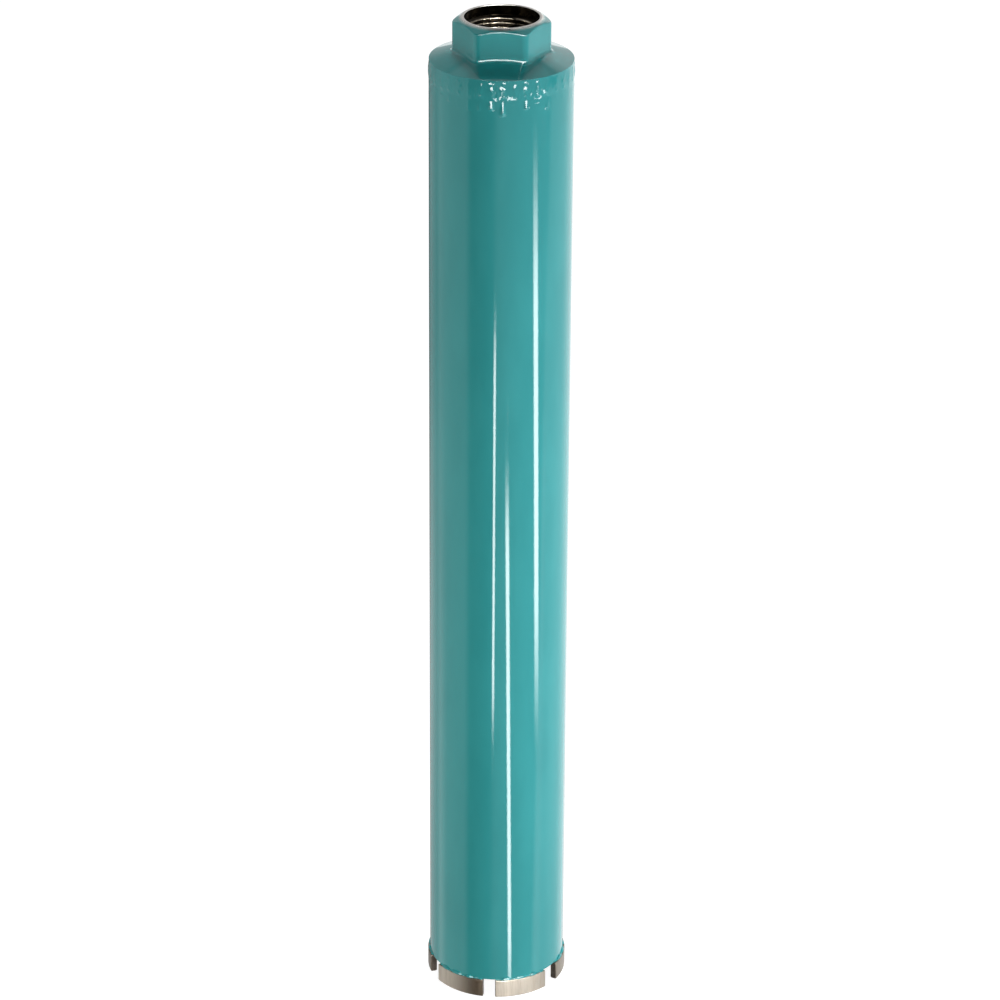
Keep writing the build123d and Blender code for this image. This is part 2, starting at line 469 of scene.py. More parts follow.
# %% Effect: orange peel
orange_peel, _, peel_out = new_group("orange_peel", {}, {"Height": FLOAT})
place = place_on_bit(orange_peel)[0]
slow = maths(orange_peel, "MULTIPLY", noise(orange_peel, place, 0.12, 0.0), 2.0)
skin = maths(orange_peel, "ADD", noise(orange_peel, place, 0.6, 1.0), slow)
orange_peel.links.new(skin, peel_out.inputs["Height"])

# %% [markdown]
# Handling leaves hair-fine rubs on the gloss, mostly along the tube. They don't change
# the colour, only how sharply the surface mirrors, so the group gives a roughness.

# %% Effect: fine rubs
fine_rubs, rubs_in, rubs_out = new_group(
    "fine_rubs", {"Clean": (FLOAT, 0.04), "Rubbed": (FLOAT, 0.13)}, {"Roughness": FLOAT})
place = place_on_bit(fine_rubs)[0]
hair = ramp(fine_rubs, noise(fine_rubs, place, 1.4, 3.0, (1.0, 1.0, 0.03)), 0.60, 0.74)
patch = ramp(fine_rubs, noise(fine_rubs, place, 0.035), 0.50, 0.68)
amount = maths(fine_rubs, "MULTIPLY", hair, patch)
worn = ramp(fine_rubs, amount, 0.0, 1.0, rubs_in.outputs["Clean"], rubs_in.outputs["Rubbed"], False)
fine_rubs.links.new(worn, rubs_out.inputs["Roughness"])

# %% [markdown]
# The paint's colour drifts a little where the coat is thicker or thinner.

# %% Effect: coat thickness
THIN_TEAL = (0.038, 0.345, 0.350, 1)
THICK_TEAL = (0.031, 0.318, 0.323, 1)
coat_tone, tone_in, tone_out = new_group(
    "coat_tone", {"Thin": (COLOUR, THIN_TEAL), "Thick": (COLOUR, THICK_TEAL)}, {"Colour": COLOUR})
place = place_on_bit(coat_tone)[0]
share = ramp(coat_tone, noise(coat_tone, place, 0.05, 3.0, (1.0, 1.0, 0.35)), 0.35, 0.65)
tone = blend(coat_tone, share, tone_in.outputs["Thin"], tone_in.outputs["Thick"])
coat_tone.links.new(tone, tone_out.inputs["Colour"])

# %% [markdown]
# Metal that was turned on a lathe shows fine rings. Metal that was ground shows fine
# lines along the wheel's path. Both are noise that is squeezed in one direction. The
# rings follow the radius and the height. The wheel's lines run up each segment, so they
# change mostly with the turn about the axis.

# %% Effect: lathe rings
lathe_rings, rings_in, rings_out = new_group(
    "lathe_rings", {"Pitch": (FLOAT, 0.22)}, {"Mark": FLOAT})
_, far, high, turn = place_on_bit(lathe_rings)
outline = node(lathe_rings, "ShaderNodeCombineXYZ",
               {"X": far, "Y": high, "Z": maths(lathe_rings, "MULTIPLY", turn, 0.6)}).outputs[0]
often = maths(lathe_rings, "DIVIDE", 1.0, rings_in.outputs["Pitch"])
rings = noise(lathe_rings, outline, often, 3.0)
lathe_rings.links.new(rings, rings_out.inputs["Mark"])

# %% Effect: grinding lines
GROUND_RADIUS = 32.5     # mm, turns an angle into a length along the segment
UP_THE_FACE = 0.05       # the lines change this much more slowly up the face
ground_lines, lines_in, lines_out = new_group(
    "ground_lines", {"Spacing": (FLOAT, 0.5)}, {"Mark": FLOAT})
_, _, high, turn = place_on_bit(ground_lines)
spread = node(ground_lines, "ShaderNodeCombineXYZ",
              {"X": maths(ground_lines, "MULTIPLY", turn, GROUND_RADIUS),
               "Y": maths(ground_lines, "MULTIPLY", high, UP_THE_FACE)}).outputs[0]
often = maths(ground_lines, "DIVIDE", 1.0, lines_in.outputs["Spacing"])
lines = noise(ground_lines, spread, often, 4.0)
ground_lines.links.new(lines, lines_out.inputs["Mark"])
print("effects:", ", ".join(group.name for group in bpy.data.node_groups))

# %% Starting and closing a material
def new_finish(name):
    """A material with an empty node tree."""
    finish = bpy.data.materials.new(name)
    finish.use_nodes = True
    finish.node_tree.nodes.clear()
    return finish, finish.node_tree


def close_finish(tree, inputs):
    """Adds the Principled shader with its inputs, and the output."""
    shader = node(tree, "ShaderNodeBsdfPrincipled", inputs)
    node(tree, "ShaderNodeOutputMaterial", {"Surface": shader.outputs[0]})


def bump(tree, height, depth):
    """A bump whose height is given in units of the depth, in millimetres."""
    return node(tree, "ShaderNodeBump", {"Height": height, "Distance": depth * MM}).outputs["Normal"]

# %% [markdown]
# ### Gloss teal paint
#
# One coat covers tube, weld and hub after they are joined. It also fills the corners of
# the ledges above the segments.

# %% Gloss teal paint
PEEL_DEPTH = 0.0016      # mm
PAINT_IOR = 1.5
gloss_teal, tree = new_finish("gloss_teal")
close_finish(tree, {
    "Base Color": use_group(tree, coat_tone).outputs["Colour"],
    "Roughness": use_group(tree, fine_rubs).outputs["Roughness"],
    "IOR": PAINT_IOR,
    "Normal": bump(tree, use_group(tree, orange_peel).outputs["Height"], PEEL_DEPTH)})

# %% [markdown]
# The hub's paint stops at the bare ring that is turned round the mouth of the bore. The
# edge is soft and a little ragged, because the ring is wiped clean after spraying.

# %% Paint that ends at the bare ring
BARE_RADIUS = 18.1
BARE_ABOVE = 468.0
DARK_TURNED = (0.52, 0.50, 0.47, 1)
PALE_TURNED = (0.71, 0.69, 0.66, 1)
hub_teal, tree = new_finish("hub_teal")
place, far, high, _ = place_on_bit(tree)
wander = ramp(tree, noise(tree, place, 0.9, 4.0), 0.3, 0.7, -0.15, 0.15, False)
painted = ramp(tree, maths(tree, "ADD", far, wander), BARE_RADIUS - 0.9, BARE_RADIUS + 1.1)
on_top = ramp(tree, high, BARE_ABOVE, BARE_ABOVE + 0.3)
bare = maths(tree, "MULTIPLY", maths(tree, "SUBTRACT", 1.0, painted), on_top)
rings = use_group(tree, lathe_rings).outputs["Mark"]
turned = ramp(tree, rings, 0.3, 0.7)
steel = blend(tree, turned, DARK_TURNED, PALE_TURNED)
rubs = use_group(tree, fine_rubs).outputs["Roughness"]
peel = use_group(tree, orange_peel).outputs["Height"]
relief = ramp(tree, bare, 0.0, 1.0, peel, maths(tree, "MULTIPLY", rings, 3.0), False)
steel_roughness = ramp(tree, turned, 0.0, 1.0, 0.28, 0.42)
close_finish(tree, {
    "Base Color": blend(tree, bare, use_group(tree, coat_tone).outputs["Colour"], steel),
    "Metallic": bare,
    "Roughness": ramp(tree, bare, 0.0, 1.0, rubs, steel_roughness, False),
    "IOR": PAINT_IOR,
    "Normal": bump(tree, relief, PEEL_DEPTH)})

# %% [markdown]
# ### Bare steel
#
# The edge of the mouth is bright from the lathe. The mouth's wall and the thread below it
# are near black: dark with cutting oil, and darker still as painted shade of the deep bore.
# Only the crests of the thread are rubbed bright. Inside the tube the steel is dull, with a
# few brown stains.

# %% Turned steel
RING_DEPTH = 0.004       # mm
turned_steel, tree = new_finish("turned_steel")
rings = use_group(tree, lathe_rings).outputs["Mark"]
turned = ramp(tree, rings, 0.3, 0.7)
close_finish(tree, {
    "Base Color": blend(tree, turned, DARK_TURNED, PALE_TURNED),
    "Metallic": 1.0,
    "Roughness": ramp(tree, turned, 0.0, 1.0, 0.24, 0.40),
    "Normal": bump(tree, rings, RING_DEPTH)})

# %% Oiled thread, darkened with painted shade
CREST_BRIGHT, CREST_DARK = 14.8, 15.5    # distances from the axis
# Near black: oily steel, darkened further as painted shade of the deep bore.
OIL_AND_SHADE_BLACK = (0.022, 0.018, 0.012, 1)
RUBBED_BRIGHT = (0.72, 0.64, 0.52, 1)
oiled_shaded_thread, tree = new_finish("oiled_shaded_thread")
place, far, _, _ = place_on_bit(tree)
film = noise(tree, place, 0.35, 5.0)
crest = ramp(tree, far, CREST_BRIGHT, CREST_DARK, 1.0, 0.0)
shine = maths(tree, "MULTIPLY", crest, ramp(tree, film, 0.35, 0.65, 0.4, 1.0))
rings = use_group(tree, lathe_rings, {"Pitch": 0.18}).outputs["Mark"]
close_finish(tree, {
    "Base Color": blend(tree, shine, OIL_AND_SHADE_BLACK, RUBBED_BRIGHT),
    "Metallic": 1.0,
    "Roughness": ramp(tree, film, 0.3, 0.7, 0.12, 0.26),
    "Normal": bump(tree, rings, RING_DEPTH)})

# %% Dull steel
DULL_DARK = (0.16, 0.15, 0.14, 1)
DULL_PALE = (0.30, 0.285, 0.27, 1)
STAIN_BROWN = (0.13, 0.075, 0.045, 1)
MARK_DEPTH = 0.02        # mm
dull_steel, tree = new_finish("dull_steel")
place = place_on_bit(tree)[0]
marks = noise(tree, place, 0.6, 5.0, (1.0, 1.0, 0.04))
stained = ramp(tree, noise(tree, place, 0.08, 4.0), 0.58, 0.72, 0.0, 0.6)
clean = blend(tree, ramp(tree, marks, 0.3, 0.7), DULL_DARK, DULL_PALE)
close_finish(tree, {
    "Base Color": blend(tree, stained, clean, STAIN_BROWN),
    "Metallic": ramp(tree, stained, 0.0, 0.6, 0.9, 0.2),
    "Roughness": ramp(tree, marks, 0.3, 0.7, 0.42, 0.62),
    "Normal": bump(tree, marks, MARK_DEPTH)})

# %% [markdown]
# ### Sintered segment
#
# A segment is metal powder pressed and sintered round diamond grit. Its curved faces are
# ground to size and pale, with lines up the face. Its ends stay dark as they left the
# mould, speckled with grit. Some faces are tinted darker brown, more at one end than at
# the other, by amounts listed for each segment. The mesh carries two marks: one tells
# faces from ends, and the other says how strong the brown tint is.

# %% Sintered segment
FACE_DARK = (0.40, 0.34, 0.27, 1)
FACE_PALE = (0.55, 0.49, 0.41, 1)
DEEP_BROWN_TINT = (0.085, 0.062, 0.040, 1)
END_DARK = (0.075, 0.058, 0.045, 1)
END_SPECK = (0.20, 0.17, 0.13, 1)
sintered, tree = new_finish("sintered_segment")
place = place_on_bit(tree)[0]
ground = node(tree, "ShaderNodeAttribute", attribute_name="ground").outputs["Fac"]
fine = use_group(tree, ground_lines, {"Spacing": 0.45}).outputs["Mark"]
broad = use_group(tree, ground_lines, {"Spacing": 2.6}).outputs["Mark"]
fine_part = maths(tree, "MULTIPLY", fine, 0.45)
lined = maths(tree, "ADD", fine_part, maths(tree, "MULTIPLY", broad, 0.55))
grit = node(tree, "ShaderNodeTexVoronoi", {"Vector": place, "Scale": 1.7}).outputs["Distance"]
speck = ramp(tree, grit, 0.10, 0.24, 1.0, 0.0)
face = blend(tree, ramp(tree, lined, 0.36, 0.62), FACE_DARK, FACE_PALE)
brown_share = node(tree, "ShaderNodeAttribute", attribute_name="brown_share").outputs["Fac"]
uneven = maths(tree, "MULTIPLY", maths(tree, "SUBTRACT", lined, 0.5), 0.5)
tint = ramp(tree, maths(tree, "ADD", brown_share, uneven), 0.05, 0.85)
face = blend(tree, tint, face, DEEP_BROWN_TINT)
end = blend(tree, speck, END_DARK, END_SPECK)
relief = maths(tree, "ADD", maths(tree, "MULTIPLY", speck, 0.5), lined)
close_finish(tree, {
    "Base Color": blend(tree, ground, end, face),
    "Metallic": ramp(tree, ground, 0.0, 1.0, 0.5, 0.4),
    "Roughness": ramp(tree, lined, 0.35, 0.65, 0.30, 0.44),
    "Normal": bump(tree, relief, MARK_DEPTH)})
print("finishes:", ", ".join(material.name for material in bpy.data.materials))

# %% Giving some faces another finish
def face_middles(mesh):
    """The distance from the axis and the height of every face's middle, in millimetres."""
    middles = np.empty(len(mesh.polygons) * 3, dtype=np.float32)
    mesh.polygons.foreach_get("center", middles)
    middles = middles.reshape(-1, 3) / MM
    return np.hypot(middles[:, 0], middles[:, 1]), middles[:, 2]


def set_finish(mesh, chosen, number):
    """Gives the chosen faces another of the piece's finishes."""
    numbers = np.empty(len(mesh.polygons), dtype=np.int32)
    mesh.polygons.foreach_get("material_index", numbers)
    numbers[chosen] = number
    mesh.polygons.foreach_set("material_index", numbers)
    mesh.update()

# %% [markdown]
# ## The tube
#
# The tube is a closed outline carried round the axis: out along its lower edge, up the
# outside, back along the bevel for the weld, and down the inside. The paint rounds its
# lower outer edge.

# %% Tube
TUBE_RADIUS = 31.5
TUBE_BORE = 29.7
TUBE_BOTTOM = 9.0
SEAM = 445.3
GROOVE = 1.3
BARE_INSIDE = 0.6        # faces this far out from the bore belong to the bare inside
TUBE_STEPS = 256

tube_table = [
    # radius, height, rounding, steps along the arc, steps along the run that follows
    (TUBE_BORE, TUBE_BOTTOM, 0.2, 4, 1),
    (TUBE_RADIUS, TUBE_BOTTOM, 0.45, 8, 60),
    (TUBE_RADIUS, SEAM - GROOVE, 0.2, 3, 1),
    (TUBE_RADIUS - GROOVE, SEAM, 0.1, 3, 1),
    (TUBE_BORE, SEAM, 0.1, 3, 40)]
r, z, rounding, arc_steps, run_steps = zip(*tube_table)
tube_outline = rounded_outline(np.stack([r, z], axis=-1), rounding, arc_steps, run_steps)
tube_angles = np.linspace(0, 2 * math.pi, TUBE_STEPS, endpoint=False)
tube_mesh = ring_mesh("painted_tube", carried_round(tube_angles, tube_outline[None]))
finished_piece(tube_mesh, [gloss_teal, dull_steel], ["core_tube"])
far, high = face_middles(tube_mesh)
set_finish(tube_mesh, far < TUBE_BORE + BARE_INSIDE, 1)

# %% [markdown]
# ## The hub
#
# The hub's outline is not the same all round: its wall is a hexagon with rounded corners.
# The distance from the axis to that wall depends on the direction. On a flat it is the
# flat's distance divided by the cosine of the angle from the flat's middle. Near a corner
# it is the distance to a circle that touches both flats.

# %% Hexagon with rounded corners
FLAT = 19.0
CORNER_RADIUS = 4.0
HEX_TURN = math.radians(-1.0)
CORNER_CENTRE = (FLAT - CORNER_RADIUS) / math.cos(math.pi / 6)


def hexagon_wall(angles):
    """Distance from the axis to the wall. With b the angle from the nearest corner it is
    FLAT / cos(30 deg - b) on a flat, and d cos b + sqrt(r^2 - d^2 sin^2 b) on the circle
    of radius r whose centre is d from the axis."""
    from_corner = np.abs((angles - HEX_TURN + math.pi / 6) % (math.pi / 3) - math.pi / 6)
    on_flat = FLAT / np.cos(math.pi / 6 - from_corner)
    reach = CORNER_RADIUS ** 2 - (CORNER_CENTRE * np.sin(from_corner)) ** 2
    on_circle = CORNER_CENTRE * np.cos(from_corner) + np.sqrt(np.maximum(reach, 0))
    touching = math.pi / 6 - math.atan(CORNER_CENTRE * math.sin(math.pi / 6) / FLAT)
    return np.where(from_corner < touching, on_circle, on_flat)


# Directions are closer together at the corners, where the wall turns quickly.
CORNER_SPAN = 5.6        # degrees to each side of a corner
near_corner = np.linspace(-CORNER_SPAN, CORNER_SPAN, 21)
along_flat = np.linspace(CORNER_SPAN, 60 - CORNER_SPAN, 19)[1:-1]
sector = np.concatenate([near_corner, along_flat])
hub_angles = HEX_TURN + np.radians((sector + 60 * np.arange(6)[:, None]).ravel())
wall = hexagon_wall(hub_angles)
print("across flats:", round(2 * wall.min(), 2), "mm, across corners:", round(2 * wall.max(), 2), "mm")

# %% [markdown]
# The thread could be a separate coil laid in the bore, but a cut thread is part of the
# wall. So the bore's own radius carries it: the wall steps in and out once for each pitch
# of height, and the whole pattern climbs by one pitch in one turn.

# %% Threaded bore
MAJOR = 15.875
MINOR = 14.73
PITCH = 25.4 / 12
MOUTH = 16.3
HUB_TOP = 470.9
MOUTH_FLOOR = 466.4
SPIGOT_END = 436.3
EXIT_CHAMFER = 1.2
LEAD_HEIGHT = 1.1        # of the cone that opens the thread to the mouth
HALF_CREST = 0.125       # half of a crest's flat, in half pitches
FLANK = 0.75             # width of a flank, in half pitches


def bore_radius(angle, height):
    """Radius of the threaded wall. Along one pitch the wall goes from the crest down a
    straight flank to the root and back, with a narrow flat at each. Cones at both ends
    cut the ridges away."""
    phase = (height / PITCH - angle / (2 * math.pi)) % 1.0
    from_crest = np.abs(phase - 0.5) * 2
    depth = np.clip((from_crest - HALF_CREST) / FLANK, 0, 1)
    thread = MINOR + (MAJOR - MINOR) * depth
    lead_in = MOUTH - (MOUTH_FLOOR - height) * (MOUTH - MINOR) / LEAD_HEIGHT
    lead_out = MAJOR + EXIT_CHAMFER - (height - SPIGOT_END)
    return np.maximum(thread, np.maximum(lead_in, lead_out))

# %% [markdown]
# The rest of the hub's outline runs from the bore's lower mouth out along the spigot, up
# the rim, in along the sloping flange, up the hexagon, and in over the turned chamfer.
# The slope of the flange sets the height where the wall starts, and the slope of the
# chamfer sets where it stops. The arched edges at the foot and the top of each flat come
# from that by themselves.

# %% Hub outline
RIM_RADIUS = 31.4
RIM_TOP = 452.4
RIM_EDGE = 0.35
RING = MOUTH + 1.0       # outer edge of the flat ring on top
SPIGOT = 29.6
SPIGOT_LEAD = 1.0
EXIT_ROUND = 0.15
flange_slope = math.tan(math.radians(19))
chamfer_slope = math.tan(math.radians(30))
rim_step = TUBE_RADIUS - RIM_RADIUS

hub_table = [
    # radius, height, rounding, steps along the arc, steps along the run that follows
    (MAJOR + EXIT_CHAMFER, SPIGOT_END, EXIT_ROUND, 2, 2),
    (SPIGOT - SPIGOT_LEAD, SPIGOT_END, 0.2, 3, 0),
    (SPIGOT, SPIGOT_END + SPIGOT_LEAD, 0.2, 3, 1),
    (SPIGOT, SEAM, 0.1, 3, 0),
    (TUBE_RADIUS - GROOVE, SEAM, 0.1, 3, 0),
    (RIM_RADIUS, SEAM + GROOVE - rim_step, 0.1, 3, 2),
    (RIM_RADIUS, RIM_TOP - RIM_EDGE * flange_slope, 0.06, 8, 6),
    (wall, RIM_TOP + (RIM_RADIUS - RIM_EDGE - wall) * flange_slope, 2.0, 14, 6),
    (wall, HUB_TOP - (wall - RING) * chamfer_slope, 0.90, 8, 4),
    (RING, HUB_TOP, 0.30, 4, 0),
    (MOUTH, HUB_TOP, 0.22, 5, 4),
    (MOUTH, MOUTH_FLOOR, 0.05, 1, 180)]
rounding, arc_steps, run_steps = zip(*[row[2:] for row in hub_table])
hub_corners = np.stack([np.stack(np.broadcast_arrays(r, z, wall)[:2], axis=-1)
                        for r, z, *_ in hub_table], axis=1)
hub_outline = rounded_outline(hub_corners, rounding, arc_steps, run_steps)
print("points on the hub's outline:", hub_outline.shape[1])

# %% Hub
WIDEST_BORE = 17.025     # no point of the threaded wall is farther out
HAIR = 0.02              # what is this close to an edge belongs to it
radius, height = hub_outline[..., 0], hub_outline[..., 1]
threaded = (height < MOUTH_FLOOR - HAIR) & (height > SPIGOT_END + EXIT_ROUND)
in_bore = (radius < WIDEST_BORE) & threaded
hub_outline[..., 0] = np.where(in_bore, bore_radius(hub_angles[:, None], height), radius)
hub_mesh = ring_mesh("painted_hub", carried_round(hub_angles, hub_outline))
finished_piece(hub_mesh, [hub_teal, turned_steel, oiled_shaded_thread, dull_steel], ["hub"])

# The rounded edge of the mouth is turned, the wall under it is oiled and near black with
# painted shade, and what goes into the tube is dull.
EDGE_WIDTH, EDGE_HEIGHT = 0.1, 0.25
SEAM_MARGIN, BORE_MARGIN = 0.05, 0.3
far, high = face_middles(hub_mesh)
set_finish(hub_mesh, far < MOUTH + EDGE_WIDTH, 1)
set_finish(hub_mesh, (far < MOUTH + HAIR) & (high < HUB_TOP - EDGE_HEIGHT), 2)
set_finish(hub_mesh, (high < SEAM + SEAM_MARGIN) & (far > MAJOR + BORE_MARGIN), 3)
print("thread turns:", round((MOUTH_FLOOR - SPIGOT_END) / PITCH, 1))

# %% [markdown]
# ## The weld
#
# The weld is laid in short overlapping ripples, and the thick paint softens them. A
# height map on the cylinder is the natural way to make it. The height above the tube is a
# low crown across the seam with ripples whose fronts are bowed, plus faint lumps, plus
# round bumps in three rows. Under it hang drips of paint. A drip gets thicker on its way
# down and ends in a round tip.

# %% Weld relief
BEAD_MIDDLE = 447.4
BEAD_HALF = 4.3
RIPPLES = 39
SAG_TOP = 443.4
FIRST_RIPPLE = math.radians(-98.05)
BY_HAND = 5              # the ripples in front have their bumps and drips listed one by one
dice = np.random.default_rng(7)
lump_waves = np.stack([dice.integers(20, 130, 40), dice.uniform(-2.2, 2.2, 40),
                       dice.uniform(0, 2 * math.pi, 40), dice.uniform(0.4, 1.0, 40)], axis=1)
sag_lengths = dice.uniform(1.5, 6.0, RIPPLES)
sag_depths = dice.uniform(0.05, 0.30, RIPPLES)
sag_lengths[:BY_HAND] = 4.2, 6.6, 2.0, 4.2, 2.0
sag_depths[:BY_HAND] = 0.80, 0.94, 0.04, 0.80, 0.05

# %% Bumps on the weld
ROW_HEIGHTS = np.array([450.8, 448.1, 445.3])
FRONT_RISES = [(0.10, 0.10, 0.0, 0.10, 0.09),
               (0.20, 0.30, 0.02, 0.28, 0.10),
               (0.06, 0.16, 0.12, 0.08, 0.26)]
many = 3 * RIPPLES
bump_places = np.tile(np.arange(RIPPLES), 3) + dice.uniform(-0.12, 0.12, many)
bump_heights = np.repeat(ROW_HEIGHTS, RIPPLES) + dice.uniform(-0.3, 0.3, many)
bump_widths = dice.uniform(0.10, 0.16, many)
bump_talls = dice.uniform(0.40, 0.65, many)
bump_rises = np.clip(dice.uniform(-0.08, 0.24, many), 0, None)
for row, rises in enumerate(FRONT_RISES):
    bump_rises[row * RIPPLES:row * RIPPLES + BY_HAND] = rises
# Places and widths are in ripples. One bump of the lowest row stands between two ripples.
bump_places[2 * RIPPLES] = 0.55
print("bumps:", many, "drips:", len(sag_lengths))

# %% Weld height
CROWN, RIPPLE_RISE, LUMP_RISE = 0.16, 0.13, 0.006
RIPPLE_BOW = 0.30        # how far a ripple's ends trail behind its middle, in ripples
RIPPLE_EDGE = 1.6        # a higher power makes the ripples narrower
BEAD_END, END_FADE = 451.93, 0.35
TALLEST = 0.75
SAG_WIDTH = 0.16         # in ripples
TIP_START = 0.8          # share of a drip where its tip begins


def from_ripple(count, place):
    """Distance from a place on the bead in ripples, the short way round."""
    return (count - place + RIPPLES / 2) % RIPPLES - RIPPLES / 2


def weld_height(angle, height):
    """Height of weld and paint above the tube. With v from -1 to 1 across the bead it is
    (1 - v^2)^1.5 times crown and ripples, plus (1 - v^2) times the lumps, plus the bumps,
    rise * exp(-(x / wide)^2 - (z / tall)^2). The sum h is held down to T tanh(h / T).
    A drip adds depth * exp(-(x / width)^2) times the share of the way down, and its tip
    is rounded off by sqrt(1 - t^2)."""
    v = (height - BEAD_MIDDLE) / BEAD_HALF
    inside = np.clip(1 - v ** 2, 0, 1)
    crown = inside ** 1.5
    count = (angle - FIRST_RIPPLE) / (2 * math.pi) * RIPPLES
    ripple = (0.5 + 0.5 * np.cos(2 * math.pi * (count - RIPPLE_BOW * v ** 2))) ** RIPPLE_EDGE
    lumps = sum(size * np.cos(n * angle + m * height + shift) for n, m, shift, size in lump_waves)
    bead = crown * (CROWN + RIPPLE_RISE * ripple) + LUMP_RISE * inside * lumps
    for place, middle, wide, tall, rise in zip(bump_places, bump_heights, bump_widths,
                                               bump_talls, bump_rises):
        off = from_ripple(count, place)
        bead += rise * np.exp(-(off / wide) ** 2 - ((height - middle) / tall) ** 2)
    bead *= np.clip((BEAD_END - height) / END_FADE, 0, 1)
    sags = np.zeros_like(bead)
    for number, (length, depth) in enumerate(zip(sag_lengths, sag_depths)):
        drop = np.clip((SAG_TOP - height) / length, 0, 1)
        tip = np.sqrt(1 - np.clip((drop - TIP_START) / (1 - TIP_START), 0, 1) ** 2)
        sags += depth * np.exp(-(from_ripple(count, number) / SAG_WIDTH) ** 2) * drop * tip
    return TALLEST * np.tanh(bead / TALLEST) + sags

# %% [markdown]
# The weld's skin starts flat on the tube, four thousandths of a millimetre proud, so that
# no edge shows, and it ends in the same way on the rim, which is a little smaller.

# %% Weld
SKIN = 0.004
SKIN_FOOT, BEAD_FOOT, SKIN_HEAD = 432.0, 440.0, 451.9
SKIN_BACK = 31.0                     # the skin's hidden side, inside the wall
STEP_FROM, STEP_HEIGHT = 446.0, 5.5  # where the skin moves in from the tube to the rim
weld_angles = np.linspace(0, 2 * math.pi, 24 * RIPPLES, endpoint=False)
weld_rows = np.concatenate([[SKIN_FOOT, SKIN_FOOT + 0.01],
                            np.linspace(SKIN_FOOT + 0.3, BEAD_FOOT, 19)[:-1],
                            np.linspace(BEAD_FOOT, SKIN_HEAD, 61),
                            [SKIN_HEAD + 0.04, SKIN_HEAD + 0.05]])
a, z = np.meshgrid(weld_angles, weld_rows, indexing="ij")
rise = np.clip((z - STEP_FROM) / STEP_HEIGHT, 0, 1)
base = TUBE_RADIUS + SKIN - rim_step * rise ** 2 * (3 - 2 * rise)
outer = np.stack([base + weld_height(a, z), z], axis=-1)
back_rows = [[SKIN_BACK, SKIN_HEAD], [SKIN_BACK, 442.0], [SKIN_BACK, SKIN_FOOT + 0.05]]
inner = np.broadcast_to(back_rows, (len(weld_angles), 3, 2))
weld_mesh = ring_mesh("weld_bead", carried_round(weld_angles, np.concatenate([outer, inner], axis=1)))
finished_piece(weld_mesh, [gloss_teal], ["seam_weld"])
print("highest point of the weld above the tube:", round(outer[..., 0].max() - TUBE_RADIUS, 2), "mm")

# %% [markdown]
# ## The segments
#
# A segment is a block bent round the axis. It is a closed outline again, but carried
# along an arc only, so its two ends need caps. A cap joins each point of the outline's
# first half to the matching point of its second half, which gives a flat strip of quads
# with no centre point.

# %% Capped bars
def bar_mesh(name, points):
    """A mesh on a grid of points (along the arc, round the outline, 3) that closes round
    the outline and has a flat cap at each end."""
    here = np.arange(points.shape[0] * points.shape[1]).reshape(points.shape[:2])
    after = np.roll(here, -1, axis=1)
    sides = np.stack([here[:-1], here[1:], after[1:], after[:-1]], axis=-1).reshape(-1, 4)
    count = points.shape[1]
    k = np.arange(count // 2 - 1)
    strip = np.stack([k, k + 1, count - 2 - k, count - 1 - k], axis=-1)
    quads = np.concatenate([sides, here[0][strip], here[-1][strip[:, ::-1]]])
    return quad_mesh(name, points.reshape(-1, 3), quads)

# %% [markdown]
# All edges of a segment are rounded. The outline's own corners round the long edges.
# Towards each end the whole outline shrinks by r - sqrt(r^2 - (r - d)^2), where d is the
# distance from the end, and that rounds the edges of the end faces. Two marks go with
# the points: one tells the ground faces from the rough ends, and one gives the brown
# tint, which changes along the segment from one value to another.
#
# The cutting radius is 0.005 mm under the solids' 32.5 mm, so that the segments stay
# inside the solids' faceted size.

# %% Segments
CUT_RADIUS = 32.495
SEGMENT_BORE = 29.4
WATER_SLOT = 7.5
SEGMENT_ARC = 2 * math.pi * CUT_RADIUS / 6 - WATER_SLOT
END_ROUND, FOOT_ROUND, HEAD_ROUND, LEAST_ROUND = 0.45, 0.8, 0.25, 0.1
TO_BOTTOM_MIDDLE = 10    # points from the outline's start to the middle of the bottom
SEGMENT_MIDDLES = {"segment_1": -6.0, "segment_2": -67.5, "segment_3": -124.5,
                   "segment_4": -186.0, "segment_5": -246.0, "segment_6": -306.0}
SEGMENT_BROWN_SHARES = {"segment_1": (0.50, 0.60), "segment_2": (0.10, 0.35), "segment_3": (0.0, 1.0),
                 "segment_4": (0.50, 0.60), "segment_5": (0.30, 0.20), "segment_6": (0.20, 0.50)}


def segment_grid(middle):
    """The points of a segment about a direction. With each point come how much it was
    ground, from 0 to 1, and how far along the segment it lies, from 0 to 1."""
    ends = END_ROUND * (1 - np.cos(np.linspace(0, math.pi / 2, 6)))
    along = np.concatenate([ends, np.linspace(END_ROUND, SEGMENT_ARC - END_ROUND, 42)[1:-1],
                            SEGMENT_ARC - ends[::-1]])
    near = np.minimum(along, SEGMENT_ARC - along)
    inset = END_ROUND - np.sqrt(END_ROUND ** 2 - np.clip(END_ROUND - near, 0, None) ** 2)
    low, high = SEGMENT_BORE + inset, CUT_RADIUS - inset
    foot, head = inset, TUBE_BOTTOM - inset
    corners = np.stack([np.stack(corner, -1) for corner in
                        ((low, foot), (high, foot), (high, head), (low, head))], axis=1)
    radii = np.array([FOOT_ROUND, FOOT_ROUND, HEAD_ROUND, HEAD_ROUND]) - inset[:, None]
    radii = np.maximum(radii, LEAST_ROUND)
    outline = rounded_outline(corners, radii, arc_steps=[7, 7, 3, 3], run_steps=[2, 12, 2, 12])
    # The outline is turned so that it starts in the middle of the bottom.
    outline = np.roll(outline, -TO_BOTTOM_MIDDLE, axis=1)
    angles = math.radians(middle) + (along - SEGMENT_ARC / 2) / CUT_RADIUS
    ground = np.broadcast_to((1 - inset / END_ROUND)[:, None], outline.shape[:2])
    share = np.broadcast_to((along / SEGMENT_ARC)[:, None], outline.shape[:2])
    return carried_round(angles, outline), ground, share


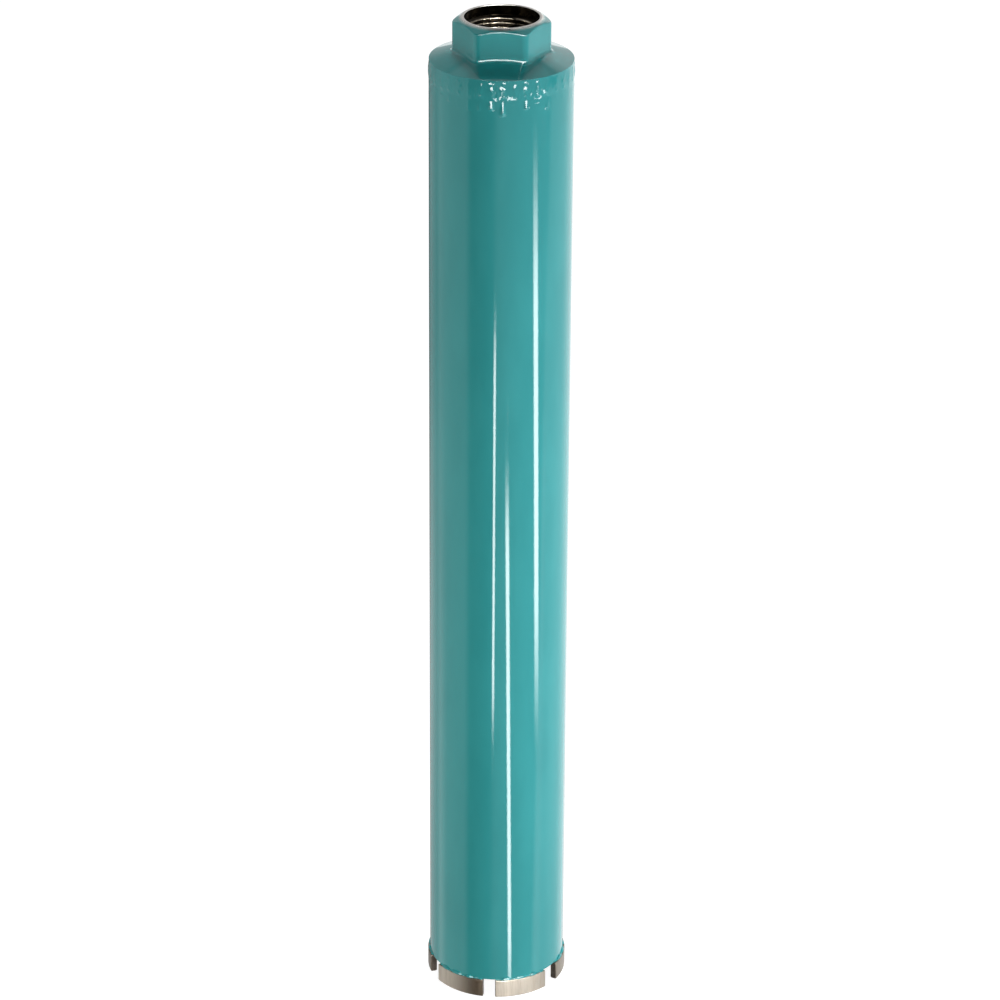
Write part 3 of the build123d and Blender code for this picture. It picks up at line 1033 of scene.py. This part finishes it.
def keep_mark(mesh, title, values):
    """Stores one number for each point of a mesh, for its material to read."""
    mark = mesh.attributes.new(title, "FLOAT", "POINT")
    mark.data.foreach_set("value", np.ascontiguousarray(values, dtype=np.float32).ravel())


TINT_POWER = 1.5         # above 1, the tint gathers at the far end
for name, middle in SEGMENT_MIDDLES.items():
    points, ground, share = segment_grid(middle)
    mesh = bar_mesh("sintered_" + name, points)
    keep_mark(mesh, "ground", ground)
    first, last = SEGMENT_BROWN_SHARES[name]
    keep_mark(mesh, "brown_share", first + (last - first) * share ** TINT_POWER)
    finished_piece(mesh, [sintered], [name])

# %% [markdown]
# The paint gathers in the corner where the tube stands on each segment, and some of it
# runs out over the ledge. Each run is a small bar of paint. Its width and height wander
# along it, and it swells in three places, whose round backs catch the light.

# %% Paint on the ledges
# Width and height of a run in mm: the least of both, what the wander adds, and a swell.
RUN_LEAST, RUN_WANDER, RUN_SWELL = (0.18, 0.35), (0.45, 0.30), (0.65, 1.00)
RUN_SKIN, RUN_SHORTER, BEHIND = 0.05, 0.6, 0.3
RUN_POINTS, ARCH_POINTS = 121, 12
PAINT_SWELLS = np.array([(-14.0, 3.6), (-1.5, 4.6), (10.5, 2.6)])   # middle, half width, degrees


def paint_run_grid(middle, waves):
    """A bead in the corner above a segment: a quarter of an ellipse from (R + w, ledge) to
    (R, ledge + h). The width w and the height h change along the arc. A swell is
    exp(-(x / half width)^4), which is flat in the middle and steep at its sides."""
    along = np.linspace(-0.5, 0.5, RUN_POINTS)
    taper = np.clip((0.5 - np.abs(along)) / 0.05, 0, 1) ** 0.5
    wander = sum(size * np.cos(2 * math.pi * n * along + shift) for n, shift, size in waves)
    wander = np.clip(wander, 0, 1)
    arc = (SEGMENT_ARC - RUN_SHORTER) / CUT_RADIUS
    turn = along[:, None] * math.degrees(arc)
    swell = np.exp(-((turn - PAINT_SWELLS[:, 0]) / PAINT_SWELLS[:, 1]) ** 4).max(axis=1)
    width, rise = [(least + drift * wander * (1 - swell) + more * swell) * taper + RUN_SKIN
                   for least, drift, more in zip(RUN_LEAST, RUN_WANDER, RUN_SWELL)]
    u = np.linspace(0, math.pi / 2, ARCH_POINTS)
    arch = np.stack([TUBE_RADIUS + width[:, None] * np.cos(u),
                     TUBE_BOTTOM + rise[:, None] * np.sin(u)], axis=-1)
    foot = np.full(RUN_POINTS, TUBE_BOTTOM - 0.1)
    back = np.stack([np.full((RUN_POINTS, 2), TUBE_RADIUS - BEHIND),
                     np.stack([TUBE_BOTTOM + rise, foot], axis=-1)], axis=-1)
    return carried_round(math.radians(middle) + along * arc, np.concatenate([arch, back], axis=1))


for number, middle in enumerate(SEGMENT_MIDDLES.values(), start=1):
    waves = np.stack([np.arange(2, 14), dice.uniform(0, 6.28, 12),
                      dice.uniform(0.1, 0.4, 12)], axis=1)
    mesh = bar_mesh(f"ledge_paint_{number}", paint_run_grid(middle, waves))
    finished_piece(mesh, [gloss_teal])

# %% [markdown]
# ## Finish
#
# The picture is shown as it is lit, with no film curve. The size of the finished pieces is
# printed.

# %% Finish
bpy.context.scene.view_settings.view_transform = "Standard"
low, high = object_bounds()
print("finished size in mm:", [round(1000 * side, 2) for side in high - low])
